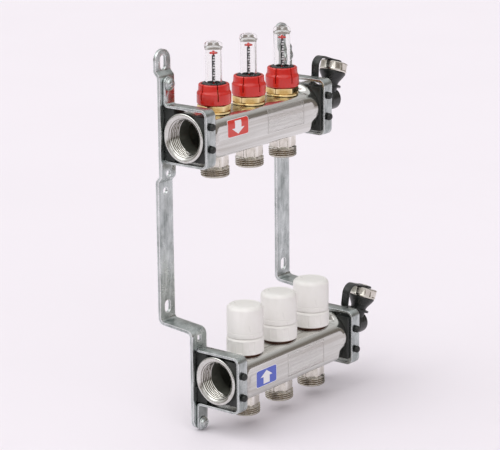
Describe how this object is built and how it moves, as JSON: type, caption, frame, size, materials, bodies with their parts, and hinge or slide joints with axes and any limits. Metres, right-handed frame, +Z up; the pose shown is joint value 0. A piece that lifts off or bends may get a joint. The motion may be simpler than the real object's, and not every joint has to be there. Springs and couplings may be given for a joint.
{
  "type": "underfloor heating manifold",
  "caption": "Underfloor heating manifold: supply bar with flow meters above a return bar with valves, clamped to two wall brackets, with swivel drains at one end.",
  "frame": {"origin": "on the wall plane, midway between the two brackets and midway between the two bar axes", "axes": "+X along the bars towards the drains, -Y out of the wall, +Z up"},
  "size_m": [0.2411, 0.0933, 0.3491],
  "materials": {
    "stainless_steel": "drawn tube, brushed",
    "nickel_plated_brass": "nickel plated, satin",
    "brass": "turned, bare",
    "zinc_plated_steel": "blue zinc plated",
    "red_plastic": "moulded, glossy",
    "clear_plastic": "clear moulded tube",
    "white_plastic": "moulded, satin",
    "black_plastic": "moulded, satin",
    "black_rubber": "moulded",
    "spring_steel": "drawn wire"
  },
  "bodies": {
    "frame": {"supply_bar": "stainless_steel", "return_bar": "stainless_steel", "supply_outlet_1": "nickel_plated_brass", "return_outlet_1": "nickel_plated_brass", "meter_body_1": "brass", "valve_body_1": "brass", "ring_nut_1": "white_plastic", "valve_spring_1": "spring_steel", "supply_outlet_2": "nickel_plated_brass", "return_outlet_2": "nickel_plated_brass", "meter_body_2": "brass", "valve_body_2": "brass", "ring_nut_2": "white_plastic", "valve_spring_2": "spring_steel", "supply_outlet_3": "nickel_plated_brass", "return_outlet_3": "nickel_plated_brass", "meter_body_3": "brass", "valve_body_3": "brass", "ring_nut_3": "white_plastic", "valve_spring_3": "spring_steel", "bracket_left": "zinc_plated_steel", "clamp_upper_left": "zinc_plated_steel", "clamp_screw_upper_left": "zinc_plated_steel", "rubber_insert_upper_left": "black_rubber", "clamp_lower_left": "zinc_plated_steel", "clamp_screw_lower_left": "zinc_plated_steel", "rubber_insert_lower_left": "black_rubber", "bracket_right": "zinc_plated_steel", "clamp_upper_right": "zinc_plated_steel", "clamp_screw_upper_right": "zinc_plated_steel", "rubber_insert_upper_right": "black_rubber", "clamp_lower_right": "zinc_plated_steel", "clamp_screw_lower_right": "zinc_plated_steel", "rubber_insert_lower_right": "black_rubber", "end_plug_upper": "nickel_plated_brass", "end_plug_lower": "nickel_plated_brass"},
    "collar_1": {"locking_collar_1": "red_plastic"},
    "glass_1": {"sight_glass_1": "clear_plastic", "regulating_ring_1": "black_plastic"},
    "indicator_1": {"flow_indicator_1": "red_plastic"},
    "wheel_1": {"handwheel_1": "white_plastic"},
    "pin_1": {"valve_pin_1": "zinc_plated_steel"},
    "collar_2": {"locking_collar_2": "red_plastic"},
    "glass_2": {"sight_glass_2": "clear_plastic", "regulating_ring_2": "black_plastic"},
    "indicator_2": {"flow_indicator_2": "red_plastic"},
    "wheel_2": {"handwheel_2": "white_plastic"},
    "pin_2": {"valve_pin_2": "zinc_plated_steel"},
    "collar_3": {"locking_collar_3": "red_plastic"},
    "glass_3": {"sight_glass_3": "clear_plastic", "regulating_ring_3": "black_plastic"},
    "indicator_3": {"flow_indicator_3": "red_plastic"},
    "wheel_3": {"handwheel_3": "white_plastic"},
    "pin_3": {"valve_pin_3": "zinc_plated_steel"},
    "drain_upper": {"drain_spout_upper": "black_plastic", "cap_strap_upper": "black_plastic"},
    "cap_upper": {"spout_cap_upper": "nickel_plated_brass"},
    "drain_lower": {"drain_spout_lower": "black_plastic", "cap_strap_lower": "black_plastic"},
    "cap_lower": {"spout_cap_lower": "nickel_plated_brass"}
  },
  "joints": [
    {"name": "collar_1_lift", "type": "slide", "parent": "frame", "child": "collar_1", "axis": [0, 0, 1], "range_m": [0, 0.012]},
    {"name": "glass_1_turn", "type": "hinge", "parent": "frame", "child": "glass_1", "pos_m": [-0.05, -0.0303, 0.1085], "axis": [0, 0, 1], "range_deg": [0, 900]},
    {"name": "indicator_1_travel", "type": "slide", "parent": "frame", "child": "indicator_1", "axis": [0, 0, 1], "range_m": [-0.024, 0], "stiffness_N_per_m": 20, "springref_m": 0.004},
    {"name": "wheel_1_turn", "type": "hinge", "parent": "frame", "child": "wheel_1", "pos_m": [-0.05, -0.0627, -0.1085], "axis": [0, 0, 1], "range_deg": [0, 1080]},
    {"name": "pin_1_travel", "type": "slide", "parent": "frame", "child": "pin_1", "axis": [0, 0, 1], "range_m": [-0.003, 0], "deforming": ["valve_spring_1"]},
    {"name": "collar_2_lift", "type": "slide", "parent": "frame", "child": "collar_2", "axis": [0, 0, 1], "range_m": [0, 0.012]},
    {"name": "glass_2_turn", "type": "hinge", "parent": "frame", "child": "glass_2", "pos_m": [0, -0.0303, 0.1085], "axis": [0, 0, 1], "range_deg": [0, 900]},
    {"name": "indicator_2_travel", "type": "slide", "parent": "frame", "child": "indicator_2", "axis": [0, 0, 1], "range_m": [-0.024, 0], "stiffness_N_per_m": 20, "springref_m": 0.004},
    {"name": "wheel_2_turn", "type": "hinge", "parent": "frame", "child": "wheel_2", "pos_m": [0, -0.0627, -0.1085], "axis": [0, 0, 1], "range_deg": [0, 1080]},
    {"name": "pin_2_travel", "type": "slide", "parent": "frame", "child": "pin_2", "axis": [0, 0, 1], "range_m": [-0.003, 0], "deforming": ["valve_spring_2"]},
    {"name": "collar_3_lift", "type": "slide", "parent": "frame", "child": "collar_3", "axis": [0, 0, 1], "range_m": [0, 0.012]},
    {"name": "glass_3_turn", "type": "hinge", "parent": "frame", "child": "glass_3", "pos_m": [0.05, -0.0303, 0.1085], "axis": [0, 0, 1], "range_deg": [0, 900]},
    {"name": "indicator_3_travel", "type": "slide", "parent": "frame", "child": "indicator_3", "axis": [0, 0, 1], "range_m": [-0.024, 0], "stiffness_N_per_m": 20, "springref_m": 0.004},
    {"name": "wheel_3_turn", "type": "hinge", "parent": "frame", "child": "wheel_3", "pos_m": [0.05, -0.0627, -0.1085], "axis": [0, 0, 1], "range_deg": [0, 1080]},
    {"name": "pin_3_travel", "type": "slide", "parent": "frame", "child": "pin_3", "axis": [0, 0, 1], "range_m": [-0.003, 0], "deforming": ["valve_spring_3"]},
    {"name": "drain_upper_swivel", "type": "hinge", "parent": "frame", "child": "drain_upper", "pos_m": [0.12, -0.0303, 0.1085], "axis": [1, 0, 0], "range_deg": [-15, 180]},
    {"name": "cap_upper_unscrew", "type": "hinge", "parent": "drain_upper", "child": "cap_upper", "pos_m": [0.12, -0.0303, 0.1085], "axis": [0.342, 0, 0.9397], "range_deg": [0, 720]},
    {"name": "drain_lower_swivel", "type": "hinge", "parent": "frame", "child": "drain_lower", "pos_m": [0.12, -0.0627, -0.1085], "axis": [1, 0, 0], "range_deg": [-21, 174]},
    {"name": "cap_lower_unscrew", "type": "hinge", "parent": "drain_lower", "child": "cap_lower", "pos_m": [0.12, -0.0627, -0.1085], "axis": [0.342, -0.0982, 0.9345], "range_deg": [0, 720]}
  ],
  "couplings": [
    {"joint": "pin_1_travel", "follows": "wheel_1_turn", "m_per_rad": -0.000159},
    {"joint": "pin_2_travel", "follows": "wheel_2_turn", "m_per_rad": -0.000159},
    {"joint": "pin_3_travel", "follows": "wheel_3_turn", "m_per_rad": -0.000159}
  ]
}
